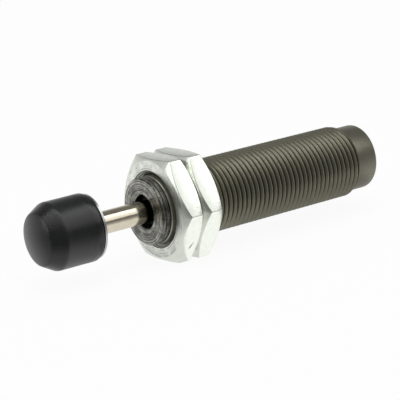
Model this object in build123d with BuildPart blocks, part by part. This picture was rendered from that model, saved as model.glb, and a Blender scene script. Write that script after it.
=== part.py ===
from build123d import *
import math
import os

# A self-contained hydraulic shock absorber with a threaded body, two mounting nuts and a cap.
# Millimetres. The stroke axis is X: the cap is at -X, the tail at +X, and a flat of each nut
# faces up. The origin is on the axis, in the plane where a panel seats on the rear nut.

# ---- driving dimensions ----

stroke = 15.0
end_of_stroke_gap = 1.5  # left between the cap's insert and the stopper at full stroke

# Threaded body
thread_diameter = 20.0
thread_pitch = 1.5
root_relief = 0.08  # how far the plain ends lie below the thread's root, so that a nut passes
body_length = 73.2  # from the stopper's face to the tail's face
front_land_length = 1.3  # plain length in front of the thread
tail_length = 6.6
front_chamfer_length = 1.0
rear_chamfer_length = 1.3
tail_edge_radius = 0.7
tube_wall = 1.0  # at the plain ends

# Mounting nuts
nut_across_flats = 27.0
nut_thickness = 6.0
nut_face_margin = 0.6  # from the flats to the flat ring on each face
nut_corner_angle = 27.0  # of the chamfer that takes off the corners, from the face
nut_mouth_flare = 0.4  # radial width of the countersink outside the thread
nut_gap = 0.2
nut_setback = 15.4  # from the stopper's face to the seat of the rear nut

# Stopper and what it holds at the front
stopper_step = 0.05  # how far the stopper's head lies inside the plain end
stopper_head_length = 2.7
stopper_length = 7.4
stopper_edge = 0.35
mouth_depth = 3.4
scraper_width = 1.5
scraper_length = 1.8
lock_ring_thickness = 0.6
lock_ring_width = 2.5
seal_holder_length = 4.0
rod_seal_width = 2.0
rod_seal_length = 2.8
rod_seal_groove = 1.4  # depth of the groove between the seal's lips

# Gaskets of square section
gasket_section = 1.3
gasket_clearance = 0.05
gasket_side_gap = 0.25

# Bearing and accumulator
bearing_flange_length = 3.0
bearing_length = 16.0
accumulator_gap = 0.25  # all round the foam

# Metering tube
metering_bore = 10.0
metering_wall = 1.8
bearing_engagement = 2.0  # length of the bearing inside the metering tube
front_collar_length = 4.0
rear_collar_length = 6.0
metering_floor = 2.0
oil_slot_width = 2.2
oil_slot_count = 4
orifice_diameter = 0.9
orifice_count = 6
orifice_turn = 60.0  # degrees from one orifice to the next
fill_port_diameter = 1.8

# Rod, piston and check valve
rod_diameter = 6.0
rod_end_chamfer = 0.5
rod_passage_gap = 0.3  # round the rod in the stopper and the seal holder
rod_shoulder = 1.0
spigot_length = 3.0
piston_front_relief = 1.0
piston_front_length = 2.0
cross_port_diameter = 1.1
valve_port_diameter = 1.4
valve_port_length = 0.6
check_ball_diameter = 2.0
check_ball_side_gap = 0.35
check_ball_float = 0.55  # room for the ball between its seat and the spring guide

# Return spring and its guide
guide_side_gap = 0.3
guide_plate = 1.2
guide_pilot_length = 2.5
wire_diameter = 0.8
spring_side_gap = 0.4  # to the metering tube's bore
spring_pilot_gap = 0.5
spring_turns = 9
wire_sides = 6  # flats round the wire, which keep the coil light

# Fill plug in the tail
fill_ball_diameter = 3.0
fill_seat_depth = 1.0  # from the tube's floor to the start of the ball's cone
set_screw_diameter = 5.0
set_screw_length = 3.1
set_screw_recess = 0.3
hex_socket = 2.5
hex_socket_depth = 1.6

# Cap and its insert
cap_step = 0.1  # how far the cap lies inside the body's plain ends
cap_shoulder = 10.7  # length of the cap's cylinder
cap_cone_length = 3.65
cap_cone_depth = 2.1  # how far the cone comes in before the domed nose
cap_nose_radius = 15.0
cap_nose_blend = 1.6
cap_shoulder_blend = 1.2
cap_rear_edge = 0.3
insert_plate = 1.0
insert_plate_step = 0.4  # how far the plate lies inside the cap's cylinder
insert_boss_wall = 2.5
insert_boss_length = 9.0
insert_groove_width = 1.0
insert_groove_depth = 0.5
insert_groove_count = 2
rod_seat_depth = 7.5  # how far the rod goes into the insert's boss

# Clearances, all on the radius
running_clearance = 0.05
seat_clearance = 0.03
ball_clearance = 0.02

# ---- diameters that follow from them ----

thread_root_diameter = thread_diameter - 1.2269 * thread_pitch  # basic metric profile
plain_end_diameter = thread_root_diameter - 2 * root_relief
tube_bore = plain_end_diameter - 2 * tube_wall
plug_diameter = tube_bore - 2 * seat_clearance  # of everything seated in the tube's bore
stopper_diameter = plain_end_diameter - 2 * stopper_step
nut_bore = thread_diameter + 2 * running_clearance
rod_bore = rod_diameter + 2 * running_clearance
rod_passage = rod_diameter + 2 * rod_passage_gap
mouth_diameter = rod_diameter + 2 * scraper_width
seal_seat_diameter = rod_diameter + 2 * rod_seal_width
groove_width = gasket_section + 2 * gasket_side_gap
groove_floor_diameter = tube_bore - 2 * gasket_section - 4 * gasket_clearance
bearing_sleeve_diameter = metering_bore - 2 * seat_clearance
metering_waist_diameter = metering_bore + 2 * metering_wall
spigot_diameter = rod_diameter - 2 * rod_shoulder
piston_diameter = metering_bore - 2 * running_clearance
valve_chamber_diameter = check_ball_diameter + 2 * check_ball_side_gap
spring_mean_diameter = metering_bore - wire_diameter - 2 * spring_side_gap
cap_diameter = plain_end_diameter - 2 * cap_step
insert_plate_diameter = cap_diameter - 2 * insert_plate_step
insert_boss_diameter = rod_diameter + 2 * insert_boss_wall


def cone_seat_offset(port_diameter, ball_diameter):
    """Distance from the small end of a 90 degree cone to the centre of a ball held just off it."""
    return ball_diameter / 2 * math.sqrt(2) - port_diameter / 2 + ball_clearance


# ---- stations along the axis, from the cap to the tail ----

face_x = -nut_setback
insert_rear_x = face_x - stroke - end_of_stroke_gap
cap_rear_x = insert_rear_x - insert_plate
boss_front_x = cap_rear_x - insert_boss_length
rod_front_x = cap_rear_x - rod_seat_depth

tube_front_x = face_x + stopper_head_length
thread_front_x = tube_front_x + front_land_length
tail_face_x = face_x + body_length
thread_rear_x = tail_face_x - tail_length

stopper_rear_x = face_x + stopper_length
holder_front_x = stopper_rear_x + lock_ring_thickness
holder_rear_x = holder_front_x + seal_holder_length
flange_rear_x = holder_rear_x + bearing_flange_length
bearing_rear_x = holder_rear_x + bearing_length

cross_port_x = bearing_rear_x + piston_front_length / 2
spigot_rear_x = bearing_rear_x + spigot_length
valve_cone_x = spigot_rear_x + valve_port_length
check_ball_x = valve_cone_x + cone_seat_offset(valve_port_diameter, check_ball_diameter)
piston_rear_x = check_ball_x + check_ball_diameter / 2 + check_ball_float
guide_rear_x = piston_rear_x + guide_plate

screw_rear_x = tail_face_x - set_screw_recess
screw_front_x = screw_rear_x - set_screw_length
fill_ball_x = screw_front_x - ball_clearance - fill_ball_diameter / 2
fill_cone_x = fill_ball_x - cone_seat_offset(fill_port_diameter, fill_ball_diameter)
tube_floor_x = fill_cone_x - fill_seat_depth
metering_floor_x = tube_floor_x - metering_floor
metering_front_x = bearing_rear_x - bearing_engagement
waist_front_x = metering_front_x + front_collar_length
waist_rear_x = tube_floor_x - rear_collar_length


def turned(*outline):
    """Adds the solid that a closed outline of (x, radius) points sweeps around the axis."""
    with BuildSketch(Plane.XZ) as section:
        with BuildLine():
            Polyline(*outline, close=True)
        make_face()
    revolve(section.sketch, axis=Axis.X)


def ring(x_start, x_end, bore, diameter, mode=Mode.ADD):
    """Adds or cuts a plain ring between two stations."""
    with BuildSketch(Plane.YZ.offset(x_start)) as section:
        Circle(diameter / 2)
        if bore:
            Circle(bore / 2, mode=Mode.SUBTRACT)
    extrude(section.sketch, amount=x_end - x_start, mode=mode)


def bore_through(x_start, x_end, diameter):
    """Cuts a round hole along the axis between two stations."""
    ring(x_start, x_end, 0, diameter, mode=Mode.SUBTRACT)


def save(name, part):
    part.label = name
    export_step(part, f"parts/{name}.step")


os.makedirs("parts", exist_ok=True)

# ---- threaded body ----

fill_ball_pocket = fill_ball_diameter + 2 * ball_clearance
fill_cone_depth = (fill_ball_pocket - fill_port_diameter) / 2

with BuildPart() as outer_tube:
    turned(
        (tube_front_x, tube_bore / 2),
        (tube_front_x, plain_end_diameter / 2),
        (thread_front_x, plain_end_diameter / 2),
        (thread_front_x + front_chamfer_length, thread_diameter / 2),
        (thread_rear_x - rear_chamfer_length, thread_diameter / 2),
        (thread_rear_x, plain_end_diameter / 2),
        (tail_face_x, plain_end_diameter / 2),
        (tail_face_x, set_screw_diameter / 2),
        (screw_front_x, set_screw_diameter / 2),
        (screw_front_x, fill_ball_pocket / 2),
        (fill_cone_x + fill_cone_depth, fill_ball_pocket / 2),
        (fill_cone_x, fill_port_diameter / 2),
        (tube_floor_x, fill_port_diameter / 2),
        (tube_floor_x, tube_bore / 2),
    )
    face_circles = outer_tube.edges().filter_by(GeomType.CIRCLE).group_by(Axis.X)
    fillet(face_circles[-1].sort_by(SortBy.RADIUS)[-1], tail_edge_radius)
    chamfer(face_circles[0].sort_by(SortBy.RADIUS)[-1], stopper_edge)
save("outer_tube", outer_tube.part)

# ---- mounting nuts ----

nut_face_radius = nut_across_flats / 2 - nut_face_margin
nut_corner_radius = nut_across_flats / math.sqrt(3)
corner_drop = (nut_corner_radius - nut_face_radius) * math.tan(math.radians(nut_corner_angle))
mouth_radius = thread_diameter / 2 + nut_mouth_flare
mouth_drop = mouth_radius - nut_bore / 2


def mounting_nut(front_x):
    """A thin hexagon nut with its corners chamfered and its mouths countersunk on both faces."""
    rear_x = front_x + nut_thickness
    with BuildPart() as nut:
        turned(
            (front_x, mouth_radius),
            (front_x, nut_face_radius),
            (front_x + corner_drop, nut_corner_radius),
            (rear_x - corner_drop, nut_corner_radius),
            (rear_x, nut_face_radius),
            (rear_x, mouth_radius),
            (rear_x - mouth_drop, nut_bore / 2),
            (front_x + mouth_drop, nut_bore / 2),
        )
        with BuildSketch(Plane.YZ.offset(front_x)) as hexagon:
            RegularPolygon(nut_across_flats / 2, 6, major_radius=False)
        extrude(hexagon.sketch, amount=nut_thickness, mode=Mode.INTERSECT)
    return nut.part


save("rear_nut", mounting_nut(-nut_thickness))
save("front_nut", mounting_nut(-2 * nut_thickness - nut_gap))

# ---- front closure ----

with BuildPart() as stopper:
    turned(
        (face_x, mouth_diameter / 2),
        (face_x, stopper_diameter / 2),
        (tube_front_x, stopper_diameter / 2),
        (tube_front_x, plug_diameter / 2),
        (stopper_rear_x, plug_diameter / 2),
        (stopper_rear_x, rod_passage / 2),
        (face_x + mouth_depth, rod_passage / 2),
        (face_x + mouth_depth, mouth_diameter / 2),
    )
    chamfer(stopper.edges().filter_by(GeomType.CIRCLE).group_by(Axis.X)[0], stopper_edge)
save("stopper", stopper.part)

scraper_rear_x = face_x + mouth_depth
scraper_radius = mouth_diameter / 2 - seat_clearance

with BuildPart() as scraper:
    turned(
        (scraper_rear_x - scraper_length, rod_bore / 2),
        (scraper_rear_x - scraper_length / 2, scraper_radius),
        (scraper_rear_x, scraper_radius),
        (scraper_rear_x, rod_bore / 2),
    )
save("scraper", scraper.part)

with BuildPart() as lock_ring:
    ring(stopper_rear_x, holder_front_x, plug_diameter - 2 * lock_ring_width, plug_diameter)
save("lock_ring", lock_ring.part)


def cut_groove(groove_x):
    """Cuts a gasket's groove into a piece that fills the tube's bore."""
    ring(groove_x, groove_x + groove_width, groove_floor_diameter, tube_bore, mode=Mode.SUBTRACT)


def gasket(groove_x):
    """The gasket in the groove that starts at a station."""
    gasket_x = groove_x + gasket_side_gap
    bore = groove_floor_diameter + 2 * gasket_clearance
    with BuildPart() as seal:
        ring(gasket_x, gasket_x + gasket_section, bore, bore + 2 * gasket_section)
    return seal.part


holder_groove_x = holder_front_x + (seal_holder_length - groove_width) / 2
seal_seat_x = holder_rear_x - rod_seal_length

with BuildPart() as seal_holder:
    ring(holder_front_x, holder_rear_x, rod_passage, plug_diameter)
    bore_through(seal_seat_x, holder_rear_x, seal_seat_diameter)
    cut_groove(holder_groove_x)
save("seal_holder", seal_holder.part)
save("front_gasket", gasket(holder_groove_x))

# The seal's lips are what its groove leaves, a third of its width each.
lip_middle_diameter = rod_diameter + rod_seal_width
lip_gap = rod_seal_width / 3

with BuildPart() as rod_seal:
    ring(seal_seat_x, holder_rear_x, rod_bore, seal_seat_diameter - 2 * seat_clearance)
    ring(
        holder_rear_x - rod_seal_groove,
        holder_rear_x,
        lip_middle_diameter - lip_gap,
        lip_middle_diameter + lip_gap,
        mode=Mode.SUBTRACT,
    )
save("rod_seal", rod_seal.part)

# ---- bearing, accumulator and metering tube ----

bearing_groove_x = holder_rear_x + (bearing_flange_length - groove_width) / 2

with BuildPart() as rod_bearing:
    ring(holder_rear_x, flange_rear_x, rod_bore, plug_diameter)
    ring(flange_rear_x, bearing_rear_x, rod_bore, bearing_sleeve_diameter)
    cut_groove(bearing_groove_x)
save("rod_bearing", rod_bearing.part)
save("bearing_gasket", gasket(bearing_groove_x))

with BuildPart() as accumulator:
    ring(
        flange_rear_x + accumulator_gap,
        metering_front_x - accumulator_gap,
        bearing_sleeve_diameter + 2 * accumulator_gap,
        tube_bore - 2 * accumulator_gap,
    )
save("accumulator", accumulator.part)

slot_depth = (tube_bore - metering_waist_diameter) / 2

with BuildPart() as inner_tube:
    turned(
        (metering_front_x, metering_bore / 2),
        (metering_front_x, plug_diameter / 2),
        (waist_front_x, plug_diameter / 2),
        (waist_front_x, metering_waist_diameter / 2),
        (waist_rear_x, metering_waist_diameter / 2),
        (waist_rear_x, plug_diameter / 2),
        (tube_floor_x, plug_diameter / 2),
        (tube_floor_x, fill_port_diameter / 2),
        (metering_floor_x, fill_port_diameter / 2),
        (metering_floor_x, metering_bore / 2),
    )
    # Slots let the oil past the front collar to the accumulator.
    with BuildSketch(Plane.YZ.offset(metering_front_x)):
        with PolarLocations((metering_waist_diameter + slot_depth) / 2, oil_slot_count):
            Rectangle(slot_depth, oil_slot_width)
    extrude(amount=front_collar_length, mode=Mode.SUBTRACT)
    # The piston covers the orifices one by one, closer together towards the end of the stroke.
    for orifice in range(orifice_count):
        share_left = 1 - (orifice + 1) / (orifice_count + 1)
        orifice_x = piston_rear_x + stroke * (1 - share_left**2)
        turned_plane = Plane.XY.rotated((orifice * orifice_turn, 0, 0))
        with BuildSketch(turned_plane):
            with Locations((orifice_x, 0)):
                Circle(orifice_diameter / 2)
        extrude(amount=tube_bore / 2, mode=Mode.SUBTRACT)
save("inner_tube", inner_tube.part)

# ---- rod, piston and check valve ----


def cut_cross_port():
    """Cuts the port that joins the check valve to the oil in front of the piston."""
    with BuildSketch(Plane.XZ) as port:
        with Locations((cross_port_x, 0)):
            Circle(cross_port_diameter / 2)
    extrude(port.sketch, amount=metering_bore, both=True, mode=Mode.SUBTRACT)


with BuildPart() as piston_rod:
    ring(rod_front_x, bearing_rear_x, 0, rod_diameter)
    ring(bearing_rear_x, spigot_rear_x, 0, spigot_diameter)
    chamfer(piston_rod.edges().filter_by(GeomType.CIRCLE).group_by(Axis.X)[0], rod_end_chamfer)
    bore_through(cross_port_x - cross_port_diameter / 2, spigot_rear_x, valve_port_diameter)
    cut_cross_port()
save("piston_rod", piston_rod.part)

relief_rear_x = bearing_rear_x + piston_front_length
relief_diameter = piston_diameter - 2 * piston_front_relief
spigot_hole = spigot_diameter + 2 * seat_clearance
valve_cone_depth = (valve_chamber_diameter - valve_port_diameter) / 2

with BuildPart() as piston:
    turned(
        (bearing_rear_x, spigot_hole / 2),
        (bearing_rear_x, relief_diameter / 2),
        (relief_rear_x, relief_diameter / 2),
        (relief_rear_x, piston_diameter / 2),
        (piston_rear_x, piston_diameter / 2),
        (piston_rear_x, valve_chamber_diameter / 2),
        (valve_cone_x + valve_cone_depth, valve_chamber_diameter / 2),
        (valve_cone_x, valve_port_diameter / 2),
        (spigot_rear_x, valve_port_diameter / 2),
        (spigot_rear_x, spigot_hole / 2),
    )
    cut_cross_port()
save("piston", piston.part)

with BuildPart(Plane.YZ.offset(check_ball_x)) as check_ball:
    Sphere(check_ball_diameter / 2)
save("check_ball", check_ball.part)

pilot_rear_x = guide_rear_x + guide_pilot_length
pilot_diameter = spring_mean_diameter - wire_diameter - 2 * spring_pilot_gap

with BuildPart() as spring_guide:
    ring(piston_rear_x, guide_rear_x, valve_port_diameter, metering_bore - 2 * guide_side_gap)
    ring(guide_rear_x, pilot_rear_x, valve_port_diameter, pilot_diameter)
save("spring_guide", spring_guide.part)

# ---- return spring ----

spring_length = metering_floor_x - guide_rear_x

with BuildPart() as return_spring:
    with BuildLine():
        coil = Helix(
            pitch=spring_length / spring_turns,
            height=spring_length,
            radius=spring_mean_diameter / 2,
            center=(guide_rear_x, 0, 0),
            direction=(1, 0, 0),
        )
    with BuildSketch(Plane(origin=coil @ 0, z_dir=coil % 0)):
        RegularPolygon(wire_diameter / 2, wire_sides)
    sweep(path=coil, is_frenet=True)
    # Both ends are ground flat on their seats.
    bore_through(guide_rear_x - wire_diameter, guide_rear_x, metering_bore)
    bore_through(metering_floor_x, metering_floor_x + wire_diameter, metering_bore)
save("return_spring", return_spring.part)

# ---- fill plug ----

with BuildPart(Plane.YZ.offset(fill_ball_x)) as fill_ball:
    Sphere(fill_ball_diameter / 2)
save("fill_ball", fill_ball.part)

with BuildPart() as set_screw:
    ring(screw_front_x, screw_rear_x, 0, set_screw_diameter - 2 * seat_clearance)
    with BuildSketch(Plane.YZ.offset(screw_rear_x - hex_socket_depth)):
        RegularPolygon(hex_socket / 2, 6, major_radius=False)
    extrude(amount=hex_socket_depth, mode=Mode.SUBTRACT)
save("set_screw", set_screw.part)

# ---- cap and insert ----

groove_root_diameter = insert_boss_diameter - 2 * insert_groove_depth
groove_pitch = insert_boss_length / (insert_groove_count + 1)

with BuildPart() as cap_insert:
    ring(boss_front_x, cap_rear_x, 0, insert_boss_diameter)
    ring(cap_rear_x, insert_rear_x, 0, insert_plate_diameter)
    bore_through(rod_front_x, insert_rear_x, rod_diameter + 2 * seat_clearance)
    # Grooves round the boss key the moulded cap.
    for groove in range(insert_groove_count):
        groove_x = boss_front_x + (groove + 1) * groove_pitch - insert_groove_width / 2
        ring(
            groove_x,
            groove_x + insert_groove_width,
            groove_root_diameter,
            insert_plate_diameter,
            mode=Mode.SUBTRACT,
        )
save("cap_insert", cap_insert.part)

cap_radius = cap_diameter / 2
nose_rim_radius = cap_radius - cap_cone_depth
shoulder_x = cap_rear_x - cap_shoulder
nose_rim_x = shoulder_x - cap_cone_length
nose_rise = cap_nose_radius - math.sqrt(cap_nose_radius**2 - nose_rim_radius**2)
nose_x = nose_rim_x - nose_rise

with BuildPart() as bumper_cap:
    with BuildSketch(Plane.XZ) as section:
        with BuildLine():
            Polyline(
                (nose_x, 0),
                (cap_rear_x, 0),
                (cap_rear_x, cap_radius),
                (shoulder_x, cap_radius),
                (nose_rim_x, nose_rim_radius),
            )
            RadiusArc((nose_rim_x, nose_rim_radius), (nose_x, 0), -cap_nose_radius)
        make_face()
        # From the rear forward, so that the corners still sharp keep their place in the list.
        fillet(section.vertices().group_by(Axis.X)[3].sort_by(Axis.Y)[-1], cap_rear_edge)
        fillet(section.vertices().group_by(Axis.X)[2], cap_shoulder_blend)
        fillet(section.vertices().group_by(Axis.X)[1], cap_nose_blend)
    revolve(axis=Axis.X)
    pocket_diameter = insert_boss_diameter + 2 * seat_clearance
    bore_through(boss_front_x - seat_clearance, cap_rear_x, pocket_diameter)
save("bumper_cap", bumper_cap.part)
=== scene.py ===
import math

import bmesh
import bpy
from mathutils import Matrix, Vector


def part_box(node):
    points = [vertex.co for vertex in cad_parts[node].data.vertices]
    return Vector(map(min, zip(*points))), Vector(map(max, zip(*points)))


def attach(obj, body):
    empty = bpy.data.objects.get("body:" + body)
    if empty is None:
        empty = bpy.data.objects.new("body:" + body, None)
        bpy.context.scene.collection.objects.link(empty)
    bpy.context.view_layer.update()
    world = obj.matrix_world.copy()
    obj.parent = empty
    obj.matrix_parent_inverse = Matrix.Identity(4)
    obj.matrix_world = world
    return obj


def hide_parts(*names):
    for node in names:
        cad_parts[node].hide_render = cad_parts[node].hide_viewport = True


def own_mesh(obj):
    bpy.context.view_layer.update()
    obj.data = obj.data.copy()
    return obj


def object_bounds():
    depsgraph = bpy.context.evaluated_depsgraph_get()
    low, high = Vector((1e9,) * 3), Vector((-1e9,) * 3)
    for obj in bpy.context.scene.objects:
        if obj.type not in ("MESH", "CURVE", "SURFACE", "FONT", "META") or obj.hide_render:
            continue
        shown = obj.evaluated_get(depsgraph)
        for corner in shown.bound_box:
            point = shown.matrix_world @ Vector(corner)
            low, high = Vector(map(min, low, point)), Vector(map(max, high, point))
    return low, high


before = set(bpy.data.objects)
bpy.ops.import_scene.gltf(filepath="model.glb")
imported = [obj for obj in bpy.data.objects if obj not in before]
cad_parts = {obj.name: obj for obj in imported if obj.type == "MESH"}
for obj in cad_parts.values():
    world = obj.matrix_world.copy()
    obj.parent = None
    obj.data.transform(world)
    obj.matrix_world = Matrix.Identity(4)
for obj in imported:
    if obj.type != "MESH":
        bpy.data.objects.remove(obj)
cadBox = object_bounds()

# The stroke axis is X, the cap at -X. Pieces are modelled in millimetres and scaled when done.
mm = 0.001
fullTurn = 2 * math.pi
mergeGap = 0.0005  # corners closer than this become one
cutGap = 1e-6  # what lies this close to a cutting plane counts as on it
overcut = 1  # how far a cutting tool passes the shape that it cuts


def placeOf(node):
    # where a CAD node starts and ends along the axis, in millimetres
    low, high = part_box(node)
    return round(low.x / mm, 3), round(high.x / mm, 3)


# helpers for modelling

def turned(outline, segments, rounds=(), bend=4):
    # outline is (x, radius) points; rounds gives (corner number, length taken off) pairs, and
    # bend says how many flats make each of them
    bm = bmesh.new()
    corners = [bm.verts.new((x, 0, radius)) for x, radius in outline]
    closed = outline[0][1] > 0  # an outline that starts on the axis ends on it too
    following = corners[1:] + corners[:1] if closed else corners[1:]
    for a, b in zip(corners, following):
        bm.edges.new((a, b))
    for number, size in rounds:
        bmesh.ops.bevel(bm, geom=[corners[number]], offset=size, offset_type="OFFSET", segments=bend,
                        profile=0.5, affect="VERTICES", material=-1)
    bmesh.ops.spin(bm, geom=bm.verts[:] + bm.edges[:], cent=(0, 0, 0), axis=(1, 0, 0),
                   angle=fullTurn, steps=segments, use_merge=True)
    bmesh.ops.remove_doubles(bm, verts=bm.verts, dist=mergeGap)
    bmesh.ops.recalc_face_normals(bm, faces=bm.faces)
    return bm


def cutEnds(bm, start, end):
    # cuts a shape square at two places along the axis and closes it there
    for x, side in ((start, -1), (end, 1)):
        bmesh.ops.bisect_plane(bm, geom=bm.verts[:] + bm.edges[:] + bm.faces[:], dist=cutGap,
                               plane_co=(x, 0, 0), plane_no=(side, 0, 0), clear_outer=True)
    rims = [edge for edge in bm.edges if edge.is_boundary]
    bmesh.ops.holes_fill(bm, edges=rims, sides=0)
    bmesh.ops.recalc_face_normals(bm, faces=bm.faces)


def looseObject(bm, name):
    mesh = bpy.data.meshes.new(name)
    bm.to_mesh(mesh)
    bm.free()
    thing = bpy.data.objects.new(name, mesh)
    bpy.context.scene.collection.objects.link(thing)
    return thing


def combined(base, tool, operation):
    # joins, cuts or intersects two closed shapes and gives the result
    baseThing, toolThing = looseObject(base, "base"), looseObject(tool, "tool")
    step = baseThing.modifiers.new("shape", "BOOLEAN")
    step.operation, step.solver, step.object = operation, "MANIFOLD", toolThing
    graph = bpy.context.evaluated_depsgraph_get()
    mesh = bpy.data.meshes.new_from_object(baseThing.evaluated_get(graph))
    bm = bmesh.new()
    bm.from_mesh(mesh)
    bpy.data.objects.remove(baseThing)
    bpy.data.objects.remove(toolThing)
    bpy.data.meshes.remove(mesh)
    return bm


def hexPrism(start, end, acrossFlats):
    bm = bmesh.new()
    bmesh.ops.create_circle(bm, segments=6, radius=acrossFlats / math.sqrt(3), cap_ends=True)
    bmesh.ops.rotate(bm, verts=bm.verts, matrix=Matrix.Rotation(math.radians(90), 3, "Y"))
    bmesh.ops.translate(bm, verts=bm.verts, vec=(start, 0, 0))
    grown = bmesh.ops.extrude_face_region(bm, geom=bm.faces[:])["geom"]
    rear = [part for part in grown if isinstance(part, bmesh.types.BMVert)]
    bmesh.ops.translate(bm, verts=rear, vec=(end - start, 0, 0))
    bmesh.ops.recalc_face_normals(bm, faces=bm.faces)
    return bm


def threadBar(start, end, thread, grow=0):
    # a long bar with a real right-hand screw thread; grow widens it for cutting a nut
    pitch, top = thread["pitch"], thread["majorRadius"] + grow
    lean = math.radians(thread["flankAngle"])
    crest, root = thread["crestRound"], thread["rootRound"]
    flankRun = pitch / 2 - (crest + root) * math.cos(lean)
    bottom = top - (crest + root) * (1 - math.sin(lean)) - flankRun / math.tan(lean)
    bends = [(math.pi / 2 - lean) * step / 2 for step in (-2, -1, 0, 1, 2)]
    groove = [(root * math.sin(bend), bottom + root * (1 - math.cos(bend))) for bend in bends]
    ridge = [(pitch / 2 + crest * math.sin(bend), top - crest * (1 - math.cos(bend))) for bend in bends]
    spare = 2  # turns past each end, for the cut
    bm = bmesh.new()
    line = []
    for turn in range(math.floor(start / pitch) - spare, math.ceil(end / pitch) + spare):
        shift = turn * pitch + thread["phase"]
        line += [bm.verts.new((x + shift, 0, radius)) for x, radius in groove + ridge]
    for first, second in zip(line, line[1:]):
        bm.edges.new((first, second))
    steps = thread["steps"]
    bmesh.ops.spin(bm, geom=bm.verts[:] + bm.edges[:], cent=(0, 0, 0), axis=(1, 0, 0),
                   dvec=(pitch / steps, 0, 0), angle=fullTurn, steps=steps)
    bmesh.ops.remove_doubles(bm, verts=bm.verts, dist=mergeGap)
    cutEnds(bm, start, end)
    return bm


def finished(bm, name, node, body, material, sharp=28):
    # a smooth-shaded piece that stands for one CAD node and rides on its body
    piece = looseObject(bm, name)
    mesh = piece.data
    mesh.transform(Matrix.Scale(mm, 4))
    mesh.polygons.foreach_set("use_smooth", [True] * len(mesh.polygons))
    mesh.set_sharp_from_angle(angle=math.radians(sharp))
    mesh.materials.append(material)
    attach(piece, body)
    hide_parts(node)
    print("made", name, len(mesh.polygons), "faces")
    return piece


# helpers for materials

def linear(code):
    # sRGB hex to the linear colour that a shader wants
    parts = [int(code[i:i + 2], 16) / 255 for i in (0, 2, 4)]
    return tuple(p / 12.92 if p <= 0.04045 else ((p + 0.055) / 1.055) ** 2.4 for p in parts) + (1,)


def addNode(tree, kind, settings=None, inputs=None):
    node = tree.nodes.new(kind)
    for name, value in (settings or {}).items():
        setattr(node, name, value)
    for name, value in (inputs or {}).items():
        if isinstance(value, bpy.types.NodeSocket):
            tree.links.new(value, node.inputs[name])
        else:
            node.inputs[name].default_value = value
    return node


def emptyTree(owner):
    owner.use_nodes = True
    owner.node_tree.nodes.clear()
    return owner.node_tree


def newMaterial(name, metallic, roughness, colour):
    material = bpy.data.materials.new(name)
    tree = emptyTree(material)
    shader = addNode(tree, "ShaderNodeBsdfPrincipled", {}, {
        "Metallic": metallic, "Roughness": roughness, "Base Color": linear(colour)})
    addNode(tree, "ShaderNodeOutputMaterial", {}, {"Surface": shader.outputs[0]})
    place = addNode(tree, "ShaderNodeTexCoord").outputs["Object"]
    return material, tree, shader, place


def noise(tree, place, size, detail, rough, dims="3D"):
    # size is the width of one blotch in millimetres
    key = "W" if dims == "1D" else "Vector"
    node = addNode(tree, "ShaderNodeTexNoise", {"noise_dimensions": dims}, {
        key: place, "Scale": 1 / (size * mm), "Detail": detail, "Roughness": rough})
    return node.outputs["Fac"]


def ranged(tree, value, low, high, newLow, newHigh):
    node = addNode(tree, "ShaderNodeMapRange", {"clamp": True}, {
        "Value": value, "From Min": low, "From Max": high, "To Min": newLow, "To Max": newHigh})
    return node.outputs["Result"]


def spanned(tree, length, span):
    # from 0 to 1 while a length runs through its span in millimetres
    return ranged(tree, length, span[0] * mm, span[1] * mm, 0, 1)


def varied(tree, pattern, span):
    # a noise seldom leaves 0.3 to 0.7, so that stretch of it fills the span
    return ranged(tree, pattern, 0.3, 0.7, span[0], span[1])


def maths(tree, operation, a, b=0.0):
    return addNode(tree, "ShaderNodeMath", {"operation": operation}, {0: a, 1: b}).outputs[0]


def blended(tree, share, first, second):
    # mixes two colours, each a hex code, a plain colour or a socket
    sides = [linear(side) if isinstance(side, str) else side for side in (first, second)]
    node = addNode(tree, "ShaderNodeMix", {"data_type": "RGBA"}, {
        "Factor": share, 6: sides[0], 7: sides[1]})
    return node.outputs[2]


def fromAxis(tree, place):
    # distance from the stroke axis, and the place along it
    split = addNode(tree, "ShaderNodeSeparateXYZ", {}, {"Vector": place}).outputs
    square = maths(tree, "ADD", maths(tree, "MULTIPLY", split["Y"], split["Y"]),
                   maths(tree, "MULTIPLY", split["Z"], split["Z"]))
    return maths(tree, "SQRT", square), split["X"]


def ringNoise(tree, radius, along, share, size, detail, rough):
    # turning rings round a face and round a side, where share sets how close together they lie
    place = maths(tree, "ADD", radius, maths(tree, "MULTIPLY", along, share))
    return noise(tree, place, size, detail, rough, "1D")


def coloured(tree, shader, colour, roughness):
    tree.links.new(colour, shader.inputs["Base Color"])
    tree.links.new(roughness, shader.inputs["Roughness"])


def bumped(tree, shader, height, depth):
    # depth is the height of the relief in millimetres
    node = addNode(tree, "ShaderNodeBump", {}, {"Distance": depth * mm, "Height": height})
    tree.links.new(node.outputs["Normal"], shader.inputs["Normal"])


# materials: a radius or a place along the axis is a pair in millimetres, from no effect to the full
# one, and a size is the width of one mark

coatingLook = {
    # painted shade: the grooves are painted near black where shade falls in them
    "groove": "1f1d18",
    "crest": "878573",
    "plainEnd": "7f7d6e",
    "cloud": "6b695c",
    # painted edge highlight: the front lip is painted pale
    "lipHighlight": "c9c7bd",
    # from the painted groove shade at the roots to the rubbed crests
    "rubAndGrooveShadeRadius": (9.14, 9.64),
    "plainRadius": (9.06, 9.0),
    "lipPlace": (-12.3, -12.45),
    "lipRadius": (8.7, 8.8),
    "roughness": (0.27, 0.33),
    "plainRoughness": 0.09,  # what the ends without thread are rougher by
    "mottleSize": 1.1,
    "crystalSize": 0.16,
    "crystalDepth": 0.0015,
}


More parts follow.
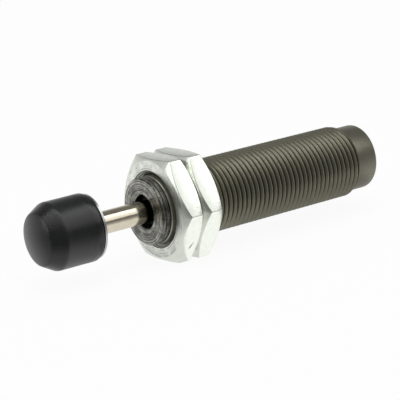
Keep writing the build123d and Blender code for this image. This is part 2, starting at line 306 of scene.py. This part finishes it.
def oliveCoating():
    # Phosphated and oiled steel: a soft olive grey satin, paler where the crests are rubbed.
    # The grooves are painted nearly black, a painted shade, and the sharp front lip is painted
    # pale, a painted edge highlight. Its crystals are drawn coarser than real, so that they show.
    look = coatingLook
    material, tree, shader, place = newMaterial("oliveSatinCoating", 0.8, 0.34, "807e72")
    radius, along = fromAxis(tree, place)
    rubAndGrooveShade = spanned(tree, radius, look["rubAndGrooveShadeRadius"])
    onPlain = spanned(tree, radius, look["plainRadius"])
    mottle = noise(tree, place, look["mottleSize"], 4, 0.6)
    # painted shade in the grooves, paler towards the rubbed crests
    threaded = blended(tree, rubAndGrooveShade, look["groove"], look["crest"])
    base = blended(tree, onPlain, threaded, look["plainEnd"])
    coat = blended(tree, varied(tree, mottle, (0, 0.3)), base, look["cloud"])
    # a painted edge highlight along the front lip
    atFront = spanned(tree, along, look["lipPlace"])
    atRim = spanned(tree, radius, look["lipRadius"])
    lipHighlightMask = maths(tree, "MULTIPLY", maths(tree, "MULTIPLY", atFront, atRim),
                ranged(tree, mottle, 0.35, 0.5, 0.4, 1))
    roughness = maths(tree, "ADD", varied(tree, mottle, look["roughness"]),
                      maths(tree, "MULTIPLY", onPlain, look["plainRoughness"]))
    coloured(tree, shader, blended(tree, lipHighlightMask, coat, look["lipHighlight"]), roughness)
    bumped(tree, shader, noise(tree, place, look["crystalSize"], 3, 0.6), look["crystalDepth"])
    return material


# Two knocks on the front nut's lower flat, in millimetres: half sizes along the nut, round it
# and into it, turned by lean on the flat and by turn to the flat.
knocks = [
    {
        "place": (-8.72, -10.42, -8.96),
        "size": (0.26, 0.75, 0.16),
        "lean": -24,
        "turn": 120,
        "dark": 0.9,
    },
    {
        "place": (-8.3, -10.85, -8.2),
        "size": (0.13, 0.6, 0.07),
        "lean": -20,
        "turn": 120,
        "dark": 0.6,
    },
]

zincLook = {
    "flat": "e8ebe2",
    "flatCloud": "dadfd5",
    "mark": "a7aaa2",
    "face": "f3f6ee",
    "stain": "6a6a61",
    "knock": "3c3b36",
    "faceRadius": (12.95, 12.85),
    "roughness": (0.18, 0.28),
    "faceRoughness": 0.16,  # what the turned faces are rougher by
    "ringSize": 0.2,
    "mottleSize": 1.3,
    "stainSize": 3.4,
    "speckSize": 0.3,
    "scratchSize": 1.6,
    "scratchLength": 9,  # times their width
    "scratchTurn": (0.5, 0.3, 0.9),
    "depth": 0.01,
}


def knockTurn(at):
    return (Matrix.Rotation(math.radians(at["turn"]), 3, "X")
            @ Matrix.Rotation(math.radians(at["lean"]), 3, "Z"))


def brightZinc():
    # Zinc plate over machined steel: bright with a faint green cast. The bearing faces keep their
    # turning rings, some of them stained dark, and the flats have a few specks and scratches.
    look = zincLook
    material, tree, shader, place = newMaterial("brightZincPlate", 1.0, 0.24, "f3f6ee")
    radius, along = fromAxis(tree, place)
    onFace = spanned(tree, radius, look["faceRadius"])
    rings = ringNoise(tree, radius, along, 0.4, look["ringSize"], 3, 0.7)
    mottle = noise(tree, place, look["mottleSize"], 5, 0.6)
    cloud = noise(tree, place, look["stainSize"], 3, 0.6)
    specks = ranged(tree, noise(tree, place, look["speckSize"], 3, 0.7), 0.66, 0.74, 0, 0.5)
    streaks = addNode(tree, "ShaderNodeMapping", {}, {
        "Vector": place, "Rotation": look["scratchTurn"],
        "Scale": (1, look["scratchLength"], 1)}).outputs[0]
    scratches = ranged(tree, noise(tree, streaks, look["scratchSize"], 3, 0.6), 0.66, 0.72, 0, 0.45)
    stain = maths(tree, "MULTIPLY", ranged(tree, rings, 0.45, 0.62, 0, 1),
                  ranged(tree, cloud, 0.43, 0.58, 0.15, 1))
    plate = blended(tree, ranged(tree, mottle, 0.45, 0.8, 0, 0.6), look["flat"], look["flatCloud"])
    marked = blended(tree, maths(tree, "MAXIMUM", specks, scratches), plate, look["mark"])
    dull = maths(tree, "MAXIMUM", stain, maths(tree, "MULTIPLY", specks, 1.6))
    face = blended(tree, dull, look["face"], look["stain"])
    plated = blended(tree, onFace, marked, face)
    for at in knocks:
        local = addNode(tree, "ShaderNodeMapping", {"vector_type": "TEXTURE"}, {
            "Vector": place, "Location": Vector(at["place"]) * mm,
            "Rotation": knockTurn(at).to_euler(), "Scale": Vector(at["size"]) * mm}).outputs[0]
        distance = addNode(tree, "ShaderNodeVectorMath", {"operation": "LENGTH"}, {0: local})
        inside = ranged(tree, distance.outputs["Value"], 0.85, 1.15, at["dark"], 0)
        plated = blended(tree, inside, plated, look["knock"])
    roughness = maths(tree, "ADD", varied(tree, mottle, look["roughness"]),
                      maths(tree, "MULTIPLY", onFace, look["faceRoughness"]))
    coloured(tree, shader, plated, roughness)
    relief = maths(tree, "ADD", maths(tree, "MULTIPLY", onFace, 0.9), 0.1)
    ridges = maths(tree, "MULTIPLY", rings, relief)
    height = maths(tree, "ADD", ridges, maths(tree, "MULTIPLY", mottle, 0.25))
    bumped(tree, shader, height, look["depth"])
    return material


oxideLook = {
    "side": "383834",
    # the face is painted lighter than the side: painted light
    "face": "464642",
    "bright": "d0cfc7",
    # painted shade: the hole is painted darker than the rest
    "hole": "23221e",
    "holeRadius": (4.55, 4.45),
    "litFacePlace": (-15.3, -15.36),
    "roughness": (0.18, 0.3),
    "holeRoughness": 0.2,  # what the hole is rougher by
    "ringSize": 0.2,
    "lineSize": 0.12,
    "wornSize": 0.4,
    "patchSize": 2.6,
    "depth": 0.01,
}


def blackOxide():
    # Turned steel blackened in a hot bath: bright steel shows through on the tool's ridges. The face
    # is painted lighter than the side, painted light, and the hole down the middle is duller and
    # painted darker, a painted shade.
    look = oxideLook
    material, tree, shader, place = newMaterial("blackOxideSteel", 0.9, 0.24, "454541")
    radius, along = fromAxis(tree, place)
    rings = ringNoise(tree, radius, along, 1.0, look["ringSize"], 3, 0.75)
    worn = noise(tree, place, look["wornSize"], 4, 0.7)
    patchy = noise(tree, place, look["patchSize"], 2, 0.5)
    uneven = maths(tree, "MULTIPLY", maths(tree, "ADD", worn, patchy), 0.25)
    ridges = ranged(tree, maths(tree, "ADD", rings, uneven), 0.75, 0.89, 0, 1)
    fine = ringNoise(tree, radius, along, 0.9, look["lineSize"], 1, 0.5)
    lines = maths(tree, "MULTIPLY", ranged(tree, fine, 0.68, 0.76, 0, 0.9),
                  ranged(tree, patchy, 0.4, 0.55, 0.2, 1))
    inHole = spanned(tree, radius, look["holeRadius"])
    # painted light: the face is painted lighter than the side
    onFace = spanned(tree, along, look["litFacePlace"])
    black = blended(tree, onFace, look["side"], look["face"])
    worked = blended(tree, maths(tree, "MAXIMUM", ridges, lines), black, look["bright"])
    roughness = maths(tree, "ADD", varied(tree, worn, look["roughness"]),
                      maths(tree, "MULTIPLY", inHole, look["holeRoughness"]))
    # painted shade in the hole
    coloured(tree, shader, blended(tree, inHole, worked, look["hole"]), roughness)
    bumped(tree, shader, rings, look["depth"])
    return material


chromeLook = {
    "clean": "ebe4d0",
    "warm": "dcd3bb",
    # painted shade: the rod is painted dark where it runs into the wiper
    "oil": "5f5a50",
    "oilPlace": (-17.9, -15.7),
    "roughness": (0.11, 0.17),
    "lineSize": 0.12,
    "lineDepth": 0.0006,
    "tintSize": 2.5,
}


def hardChrome():
    # Ground and polished hard chrome: a little warm, its reflections softened by grinding lines,
    # which are drawn coarser than real so that they show, and painted dark at the wiper as painted
    # shade.
    look = chromeLook
    material, tree, shader, place = newMaterial("polishedHardChrome", 1.0, 0.14, "e8e0cb")
    along = fromAxis(tree, place)[1]
    lines = noise(tree, along, look["lineSize"], 3, 0.8, "1D")
    tint = noise(tree, place, look["tintSize"], 3, 0.6)
    plate = blended(tree, varied(tree, tint, (0, 1)), look["clean"], look["warm"])
    # painted shade near the wiper
    oily = spanned(tree, along, look["oilPlace"])
    coloured(tree, shader, blended(tree, oily, plate, look["oil"]),
             varied(tree, lines, look["roughness"]))
    bumped(tree, shader, lines, look["lineDepth"])
    return material


urethaneLook = {
    "black": "151816",
    "paler": "222523",
    "coneFront": (-47.4, -47.0),
    "coneRear": (-43.7, -44.2),
    "bandPlace": (-35.15, -35.0),
    "roughness": (0.26, 0.34),
    "bandShine": 0.07,  # what the band and the sparks are smoother by
    "sparkShine": 0.2,
    "grainSize": 0.5,
    "grainDepth": 0.05,
    "cloudSize": 2.2,
}


def blackUrethane():
    # Moulded polyurethane: satin black, spark-textured on the cone, polished in a band at the rear.
    look = urethaneLook
    material, tree, shader, place = newMaterial("blackPolyurethane", 0.0, 0.3, "1a1b1a")
    shader.inputs["IOR"].default_value = 1.52
    along = fromAxis(tree, place)[1]
    onCone = maths(tree, "MULTIPLY", spanned(tree, along, look["coneFront"]),
                   spanned(tree, along, look["coneRear"]))
    onBand = spanned(tree, along, look["bandPlace"])
    grain = noise(tree, place, look["grainSize"], 5, 0.7)
    cloud = noise(tree, place, look["cloudSize"], 4, 0.65)
    sparks = ranged(tree, grain, 0.4, 0.62, 0, look["sparkShine"])
    shine = maths(tree, "ADD", maths(tree, "MULTIPLY", onBand, look["bandShine"]),
                  maths(tree, "MULTIPLY", onCone, sparks))
    roughness = maths(tree, "SUBTRACT", varied(tree, cloud, look["roughness"]), shine)
    coloured(tree, shader, blended(tree, cloud, look["black"], look["paler"]), roughness)
    height = maths(tree, "MULTIPLY", grain, maths(tree, "ADD", onCone, 0.1))
    bumped(tree, shader, height, look["grainDepth"])
    return material


plateLook = {
    "bright": "c3c4c6",
    # painted shade: a near black line along the plate's front edge where it meets the cap
    "seamShade": "1b1d1b",
    "seamShadePlace": (-32.44, -32.5),
    "roughness": (0.2, 0.3),
    "seamRoughness": 0.15,  # what the seam is rougher by
    "markSize": 0.25,
    "markDepth": 0.002,
}


def flashedPlate():
    # Bright plated steel whose front edge is painted near black, a painted shade where it meets the cap.
    look = plateLook
    material, tree, shader, place = newMaterial("platedInsertSteel", 1.0, 0.26, look["bright"])
    radius, along = fromAxis(tree, place)
    # painted shade along the front edge
    seamShade = spanned(tree, along, look["seamShadePlace"])
    marks = noise(tree, radius, look["markSize"], 2, 0.7, "1D")
    roughness = maths(tree, "ADD", varied(tree, marks, look["roughness"]),
                      maths(tree, "MULTIPLY", seamShade, look["seamRoughness"]))
    coloured(tree, shader, blended(tree, seamShade, look["bright"], look["seamShade"]), roughness)
    bumped(tree, shader, marks, look["markDepth"])
    return material


def plainMetal(name, colour, darker, roughness, markSize):
    # Machined or drawn metal: turning marks, drawn coarse, and a slight stain over one base tone.
    material, tree, shader, place = newMaterial(name, 1.0, roughness, colour)
    radius, along = fromAxis(tree, place)
    stain = noise(tree, place, 2.0, 4, 0.6)
    coloured(tree, shader, blended(tree, ranged(tree, stain, 0.35, 0.7, 0, 1), colour, darker),
             varied(tree, stain, (roughness - 0.05, roughness + 0.08)))
    bumped(tree, shader, ringNoise(tree, radius, along, 1.0, markSize, 2, 0.7), 0.005)
    return material


def plainRubber(name, colour, paler, roughness, grainSize, depth):
    # Moulded or foamed rubber: matt, with its grain as relief and a dusty paler bloom.
    material, tree, shader, place = newMaterial(name, 0.0, roughness, colour)
    grain = noise(tree, place, grainSize, 4, 0.65)
    coloured(tree, shader, blended(tree, ranged(tree, grain, 0.4, 0.75, 0, 0.6), colour, paler),
             varied(tree, grain, (roughness - 0.06, roughness + 0.06)))
    bumped(tree, shader, grain, depth)
    return material


coating = oliveCoating()
zinc = brightZinc()
oxide = blackOxide()
chrome = hardChrome()
urethane = blackUrethane()
insertPlate = flashedPlate()
steel = plainMetal("brightTurnedSteel", "c9c8c4", "b4b2ad", 0.26, 0.2)
bronze = plainMetal("bearingBronze", "b08b55", "94703f", 0.36, 0.2)
copper = plainMetal("softCopper", "c47f5b", "a4603f", 0.38, 0.3)
springSteel = plainMetal("oiledSpringWire", "6e6a63", "4f4b45", 0.35, 0.5)
rubber = plainRubber("nitrileRubber", "1b1b1b", "2b2b2a", 0.55, 0.3, 0.006)
foam = plainRubber("closedCellFoam", "242424", "3a3a38", 0.85, 0.5, 0.06)
print("materials ready")


# the threaded body; its lengths run back from its front and forward from its tail face

thread = {
    "pitch": 1.5,
    "majorRadius": 10.0,
    "flankAngle": 30,
    "crestRound": 0.36,
    "rootRound": 0.12,
    "phase": 0.35,  # where the groove lies at the top of the body
    "steps": 160,
}

bodyShape = {
    "bore": 8.0,
    "plainRadius": 9.0,
    "crestRadius": 10.04,  # just over the thread's own crests
    "frontEdge": 0.35,
    "frontLand": 1.3,  # plain length in front of the thread
    "frontLead": 1.04,  # lengths of the thread's chamfers
    "rearLead": 1.34,
    "tail": 6.6,
    "tailRound": 0.7,
    "holeRound": 0.25,
    "lipRound": 0.06,
    "screwRadius": 2.5,
    "screwDepth": 3.4,
    "pocketRadius": 1.52,
    "pocketDepth": 5.54,
    "portRadius": 0.9,
    "portDepth": 6.16,
    "floorDepth": 7.16,
    "segments": 192,
}


def threadedBody():
    s = bodyShape
    front, rear = placeOf("outer_tube")
    threadFront, threadRear = front + s["frontLand"], rear - s["tail"]
    outline = [
        (front, s["bore"]),
        (front, s["plainRadius"] - s["frontEdge"]),
        (front + s["frontEdge"], s["plainRadius"]),
        (threadFront, s["plainRadius"]),
        (threadFront + s["frontLead"], s["crestRadius"]),
        (threadRear - s["rearLead"], s["crestRadius"]),
        (threadRear, s["plainRadius"]),
        (rear, s["plainRadius"]),
        (rear, s["screwRadius"]),
        (rear - s["screwDepth"], s["screwRadius"]),
        (rear - s["screwDepth"], s["pocketRadius"]),
        (rear - s["pocketDepth"], s["pocketRadius"]),
        (rear - s["portDepth"], s["portRadius"]),
        (rear - s["floorDepth"], s["portRadius"]),
        (rear - s["floorDepth"], s["bore"]),
    ]
    rounds = [(7, s["tailRound"]), (8, s["holeRound"]), (1, s["lipRound"]), (2, s["lipRound"])]
    bar = threadBar(front - overcut, rear + overcut, thread)
    shape = combined(turned(outline, s["segments"], rounds), bar, "INTERSECT")
    finished(shape, "threadedBody", "outer_tube", "tube", coating)


# the mounting nuts

nutShape = {
    "acrossFlats": 27,
    "faceRadius": 12.9,
    "cornerAngle": 27,
    "cornerSpare": 0.5,  # how far the chamfering cones pass the corners
    "edge": 0.14,
    "mouthRadius": 10.4,
    "minorRadius": 9.19,
    "clearance": 0.05,
    "segments": 144,
}


def knock(at):
    bm = bmesh.new()
    bmesh.ops.create_uvsphere(bm, u_segments=24, v_segments=12, radius=1)
    bmesh.ops.scale(bm, vec=at["size"], verts=bm.verts)
    bmesh.ops.rotate(bm, verts=bm.verts, matrix=knockTurn(at))
    bmesh.ops.translate(bm, verts=bm.verts, vec=at["place"])
    return bm


def mountingNut(name, node, marks=()):
    # each nut's node and body go by one name
    s = nutShape
    front, rear = placeOf(node)
    corner = s["acrossFlats"] / math.sqrt(3) + s["cornerSpare"]
    drop = (corner - s["faceRadius"]) * math.tan(math.radians(s["cornerAngle"]))
    cones = turned([(front, 0), (front, s["faceRadius"]), (front + drop, corner),
                    (rear - drop, corner), (rear, s["faceRadius"]), (rear, 0)], s["segments"])
    nut = combined(hexPrism(front - overcut, rear + overcut, s["acrossFlats"]), cones, "INTERSECT")
    # the cut leaves corners and flats in pieces, which are joined before the edges are rounded
    bmesh.ops.remove_doubles(nut, verts=nut.verts, dist=4 * mergeGap)
    bmesh.ops.dissolve_limit(nut, angle_limit=math.radians(0.5), verts=nut.verts[:],
                             edges=nut.edges[:])
    sharp = [edge for edge in nut.edges if edge.calc_face_angle(0) > math.radians(20)]
    bmesh.ops.bevel(nut, geom=sharp, offset=s["edge"], offset_type="OFFSET", segments=3,
                    profile=0.5, affect="EDGES", clamp_overlap=True, material=-1)
    for mark in marks:
        nut = combined(nut, knock(mark), "DIFFERENCE")
    depth = s["mouthRadius"] - s["minorRadius"]
    drill = turned([(front - overcut, 0), (front - overcut, s["mouthRadius"]),
                    (front, s["mouthRadius"]), (front + depth, s["minorRadius"]),
                    (rear - depth, s["minorRadius"]), (rear, s["mouthRadius"]),
                    (rear + overcut, s["mouthRadius"]), (rear + overcut, 0)], s["segments"])
    nut = combined(nut, drill, "DIFFERENCE")
    tap = threadBar(front - overcut, rear + overcut, thread, s["clearance"])
    nut = combined(nut, tap, "DIFFERENCE")
    finished(nut, name, node, node, zinc)


# the bumper cap; its lengths run forward from its rear

capShape = {
    "radius": 8.9,
    "rearEdge": 0.4,
    "band": 2.18,
    "bandStep": 0.03,  # what the rest of the cap is thinner by, over the width of a line
    "lineWidth": 0.12,
    "cylinder": 10.7,
    "shoulderRound": 0.45,
    "cone": 3.65,
    "rimRadius": 6.8,
    "rimRound": 0.4,
    "domeRadius": 15.0,
    "domeSteps": 9,
    "pocketRadius": 5.53,
    "pocketDepth": 9.03,
    "segments": 192,
}


def bumperCap():
    s = capShape
    rear = placeOf("bumper_cap")[1]
    shoulder, bandFront = rear - s["cylinder"], rear - s["band"]
    dome, steps = s["domeRadius"], s["domeSteps"]
    centre = shoulder - s["cone"] + math.sqrt(dome ** 2 - s["rimRadius"] ** 2)
    widest = math.asin(s["rimRadius"] / dome)
    angles = [widest * step / steps for step in range(steps + 1)]
    body = s["radius"] - s["bandStep"]
    outline = [(centre - dome * math.cos(angle), dome * math.sin(angle)) for angle in angles]
    outline += [
        (shoulder, body),
        (bandFront - s["lineWidth"], body),
        (bandFront, s["radius"]),
        (rear, s["radius"]),
        (rear, s["pocketRadius"]),
        (rear - s["pocketDepth"], s["pocketRadius"]),
        (rear - s["pocketDepth"], 0),
    ]
    rounds = [(steps, s["rimRound"]), (steps + 1, s["shoulderRound"]), (steps + 4, s["rearEdge"])]
    cap = turned(outline, s["segments"], rounds, 6)
    finished(cap, "bumperCap", "bumper_cap", "rod", urethane, 40)


# the return spring

springShape = {
    "meanRadius": 4.2,
    "wireRadius": 0.4,
    "turns": 9,
    "deadTurns": 0.75,  # at each end, where the coil closes onto itself
    "deadPitch": 1.03,  # times the wire's thickness
    "steps": 48,  # per turn
    "sides": 14,
    "pressedShare": 0.482,  # of its length, with the rod all the way in
}


def returnSpring():
    # coil with closed ends, ground flat on its seats; the wire is a swept circle
    s = springShape
    front, rear = placeOf("return_spring")
    deadPitch = 2 * s["wireRadius"] * s["deadPitch"]
    freeTurns = s["turns"] - 2 * s["deadTurns"]
    freePitch = (rear - front - 2 * s["deadTurns"] * deadPitch) / freeTurns
    bm = bmesh.new()
    bmesh.ops.create_circle(bm, segments=s["sides"], radius=s["wireRadius"], cap_ends=True)
    bmesh.ops.rotate(bm, verts=bm.verts, matrix=Matrix.Rotation(math.radians(90), 3, "X"))
    bmesh.ops.translate(bm, verts=bm.verts, vec=(front, 0, s["meanRadius"]))
    end = bm.faces[:]
    turn = Matrix.Rotation(fullTurn / s["steps"], 3, "X")
    for step in range(s["turns"] * s["steps"]):
        done = (step + 0.5) / s["steps"]
        dead = done < s["deadTurns"] or done > s["turns"] - s["deadTurns"]
        pitch = deadPitch if dead else freePitch
        grown = bmesh.ops.extrude_face_region(bm, geom=end)["geom"]
        ring = [part for part in grown if isinstance(part, bmesh.types.BMVert)]
        faces = [part for part in grown if isinstance(part, bmesh.types.BMFace)]
        if step:
            bmesh.ops.delete(bm, geom=end, context="FACES_ONLY")
        end = [face for face in faces if len(face.verts) == s["sides"]]
        bmesh.ops.rotate(bm, verts=ring, cent=(0, 0, 0), matrix=turn)
        bmesh.ops.translate(bm, verts=ring, vec=(pitch / s["steps"], 0, 0))
    cutEnds(bm, front, rear)
    spring = finished(bm, "returnSpring", "return_spring", "tube", springSteel, 50)
    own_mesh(spring)


# the set screw

screwShape = {
    "radius": 2.47,
    "edge": 0.3,
    "cupRadius": 0.9,
    "cupDepth": 0.4,
    "socket": 2.5,  # across its flats
    "socketDepth": 1.6,
    "mouthRadius": 1.6,
    "mouthDepth": 0.8,
    "segments": 96,
}


def setScrew():
    # cup-ended set screw with a hexagon socket, chamfered at its mouth
    s = screwShape
    front, rear = placeOf("set_screw")
    radius, edge = s["radius"], s["edge"]
    blank = turned([(front + s["cupDepth"], 0), (front, s["cupRadius"]), (front, radius - edge),
                    (front + edge, radius), (rear - edge, radius), (rear, radius - edge),
                    (rear, 0)], s["segments"])
    flats = hexPrism(rear - s["socketDepth"], rear + overcut, s["socket"])
    screw = combined(blank, flats, "DIFFERENCE")
    mouth = turned([(rear - s["mouthDepth"], 0), (rear, s["mouthRadius"]),
                    (rear + overcut, s["mouthRadius"]), (rear + overcut, 0)], s["segments"])
    screw = combined(screw, mouth, "DIFFERENCE")
    finished(screw, "setScrew", "set_screw", "tube", oxide)


# the camera, the light and the floor, in metres

cameraView = {
    "place": (-0.23838, -0.34684, 0.10624),
    "turn": (75.731, 5.031, -36.091),
    "lens": 148.0,
    "sensor": 36,
    "clip": (0.01, 20),
}

studio = {
    "floorGap": 0.00002,
    "floorReach": 3,
    "floorGlow": 0.93,  # the rest of its white comes from the light that falls on it
    # the paper is darker under the body and the rod, which mirror it: where along x and y, and
    # how bright
    "undersides": (((0.009, 0.064), (-0.03, 0.01), 0.62), ((-0.029, -0.008), (-0.02, 0.012), 0.8)),
    "keyCorners": [(-0.46, 0.48, 1.39), (1.07, -0.57, 0.68), (0.78, -1.28, 0.42), (-0.99, -0.80, 0.91)],
    # the key panel is brightest towards its back right corner: metres along that slope, how bright
    "keySlope": (0.655, 0.784, 0.238),
    "keyGlow": ((-0.7, 0.25), (-0.47, 0.37), (-0.25, 0.46), (-0.03, 0.55), (0.15, 0.8),
                (0.33, 1.0), (0.8, 1.0)),
    "keyStrength": 2.2,
    "leftPlace": (-0.86, 0.12, 0.5),
    "leftAlong": (0.14, 0.99, 0),
    "leftSize": (0.66, 0.8),
    "leftWatts": 1.9,
    "fillGlow": 0.56,
    # the backdrop's glow by how far a direction leans towards its bright side, from -1 to 1
    "brightSide": (0.2, 0.48, -0.854),
    "backdropGlow": ((-0.5, 0.17), (-0.15, 0.2), (0.0, 0.36), (0.2, 0.54), (0.45, 0.8),
                     (0.65, 0.8), (1.0, 0.67)),
    # brighter patches on it: the direction, the cosines where each begins and is full, how bright
    "patches": (((0.755, -0.252, -0.604), 0.55, 0.85, 0.38), ((-0.7, 0.6, 0.39), 0.86, 0.98, 0.3),
                ((-0.5, 0.81, -0.3), 0.84, 0.97, 0.22)),
}


def setCamera():
    data = bpy.data.cameras.new("camera")
    data.lens = cameraView["lens"]
    data.sensor_width = cameraView["sensor"]
    data.clip_start, data.clip_end = cameraView["clip"]
    camera = bpy.data.objects.new("camera", data)
    camera.location = cameraView["place"]
    camera.rotation_euler = [math.radians(angle) for angle in cameraView["turn"]]
    bpy.context.scene.collection.objects.link(camera)
    bpy.context.scene.camera = camera


def card(name, corners, material, seenByCamera):
    # a flat card of the studio
    bm = bmesh.new()
    bm.faces.new([bm.verts.new(corner) for corner in corners])
    thing = looseObject(bm, name)
    thing.data.materials.append(material)
    thing.visible_camera = seenByCamera
    return thing


def onFloor(left, right, front, back):
    # corners of a card that lies just under the object
    z = cadBox[0][2] - studio["floorGap"]
    return [(left, front, z), (right, front, z), (right, back, z), (left, back, z)]


def areaLamp(name, place, along, size, watts):
    # a flat soft light that faces the object; along is the way its width runs
    data = bpy.data.lights.new(name, "AREA")
    data.shape = "RECTANGLE"
    data.size, data.size_y = size
    data.energy = watts
    away = Vector(place).normalized()
    up = away.cross(Vector(along)).normalized()
    turn = Matrix((up.cross(away), up, away)).transposed()
    lamp = bpy.data.objects.new(name, data)
    lamp.location = place
    lamp.rotation_euler = turn.to_euler()
    bpy.context.scene.collection.objects.link(lamp)


def seenRays(tree):
    # 1 for rays from the camera or a mirror-like surface, 0 for light that falls on things
    path = addNode(tree, "ShaderNodeLightPath").outputs
    either = maths(tree, "MAXIMUM", path["Is Camera Ray"], path["Is Glossy Ray"])
    return maths(tree, "MAXIMUM", either, path["Is Transmission Ray"])


def ramped(tree, value, stops):
    # a smooth run of greys; stops gives (value, grey) pairs
    low, high = stops[0][0], stops[-1][0]
    ramp = addNode(tree, "ShaderNodeValToRGB", {}, {"Fac": ranged(tree, value, low, high, 0, 1)})
    steps = ramp.color_ramp.elements
    while len(steps) < len(stops):
        steps.new(0.5)
    for step, (place, grey) in zip(steps, stops):
        step.position, step.color = (place - low) / (high - low), (grey, grey, grey, 1)
    return ramp.outputs["Color"]


def leaning(tree, direction, side):
    node = addNode(tree, "ShaderNodeVectorMath", {"operation": "DOT_PRODUCT"}, {0: direction, 1: side})
    return node.outputs["Value"]


def cardGlow(name, strength, slope=(), stops=()):
    # light of a card, which may change over its face along one slope
    material = bpy.data.materials.new(name)
    tree = emptyTree(material)
    glow = (1, 1, 1, 1)
    if stops:
        place = addNode(tree, "ShaderNodeTexCoord").outputs["Object"]
        glow = ramped(tree, leaning(tree, place, slope), stops)
    light = addNode(tree, "ShaderNodeEmission", {}, {"Color": glow, "Strength": strength})
    addNode(tree, "ShaderNodeOutputMaterial", {}, {"Surface": light.outputs[0]})
    return material


def whitePaper():
    # Matt paper that the camera sees white all over, and that throws back little light.
    material = bpy.data.materials.new("whiteStudioPaper")
    tree = emptyTree(material)
    seen = seenRays(tree)
    matt = addNode(tree, "ShaderNodeBsdfDiffuse", {}, {"Color": blended(tree, seen, "484848", "f6f6f6")})
    white = addNode(tree, "ShaderNodeEmission", {}, {"Color": (1, 1, 1, 1), "Strength": 1.0})
    share = maths(tree, "MULTIPLY", seen, studio["floorGlow"])
    both = addNode(tree, "ShaderNodeMixShader", {}, {0: share, 1: matt.outputs[0], 2: white.outputs[0]})
    addNode(tree, "ShaderNodeOutputMaterial", {}, {"Surface": both.outputs[0]})
    return material


def setWorld():
    # Mirrors see a white backdrop below and behind, which falls off to a dark room in front and
    # overhead; the camera sees it white all round.
    world = bpy.data.worlds.new("studio")
    bpy.context.scene.world = world
    tree = emptyTree(world)
    direction = addNode(tree, "ShaderNodeTexCoord").outputs["Generated"]
    backdrop = ramped(tree, leaning(tree, direction, studio["brightSide"]), studio["backdropGlow"])
    for side, edge, full, strength in studio["patches"]:
        patch = ranged(tree, leaning(tree, direction, side), edge, full, 0, strength)
        both = addNode(tree, "ShaderNodeVectorMath", {"operation": "ADD"}, {0: backdrop, 1: patch})
        backdrop = both.outputs[0]
    path = addNode(tree, "ShaderNodeLightPath").outputs
    seen = blended(tree, path["Is Glossy Ray"], "ffffff", backdrop)
    fill = [studio["fillGlow"]] * 3 + [1]
    colour = blended(tree, seenRays(tree), fill, seen)
    glow = addNode(tree, "ShaderNodeBackground", {}, {"Color": colour, "Strength": 1.0})
    addNode(tree, "ShaderNodeOutputWorld", {}, {"Surface": glow.outputs[0]})


def setStudio():
    bpy.context.scene.view_settings.view_transform = "Standard"
    setWorld()
    reach = studio["floorReach"]
    floor = card("floor", onFloor(-reach, reach, -reach, reach), whitePaper(), True)
    floor.visible_glossy = False  # mirrors see the backdrop in its place
    for (left, right), (front, back), glow in studio["undersides"]:
        shade = card("shadedPaper", onFloor(left, right, front, back), cardGlow("shadedPaperGlow", glow),
                     False)
        shade.visible_diffuse = shade.visible_transmission = shade.visible_shadow = False
    key = cardGlow("keyPanelGlow", studio["keyStrength"], studio["keySlope"], studio["keyGlow"])
    card("keyPanel", studio["keyCorners"], key, False)
    areaLamp("leftPanel", studio["leftPlace"], studio["leftAlong"], studio["leftSize"],
             studio["leftWatts"])
    print("light and floor ready")


threadedBody()
mountingNut("frontNut", "front_nut", knocks)
mountingNut("rearNut", "rear_nut")
bumperCap()
returnSpring()
setScrew()

finishes = {
    "stopper": oxide,
    "scraper": rubber,
    "lock_ring": copper,
    "seal_holder": bronze,
    "front_gasket": rubber,
    "rod_seal": rubber,
    "rod_bearing": bronze,
    "bearing_gasket": rubber,
    "accumulator": foam,
    "inner_tube": steel,
    "piston_rod": chrome,
    "piston": bronze,
    "check_ball": steel,
    "spring_guide": steel,
    "fill_ball": steel,
    "cap_insert": insertPlate,
}
for name, material in finishes.items():
    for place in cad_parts[name].material_slots:
        place.material = material
print("CAD nodes given their finishes")

setCamera()
setStudio()
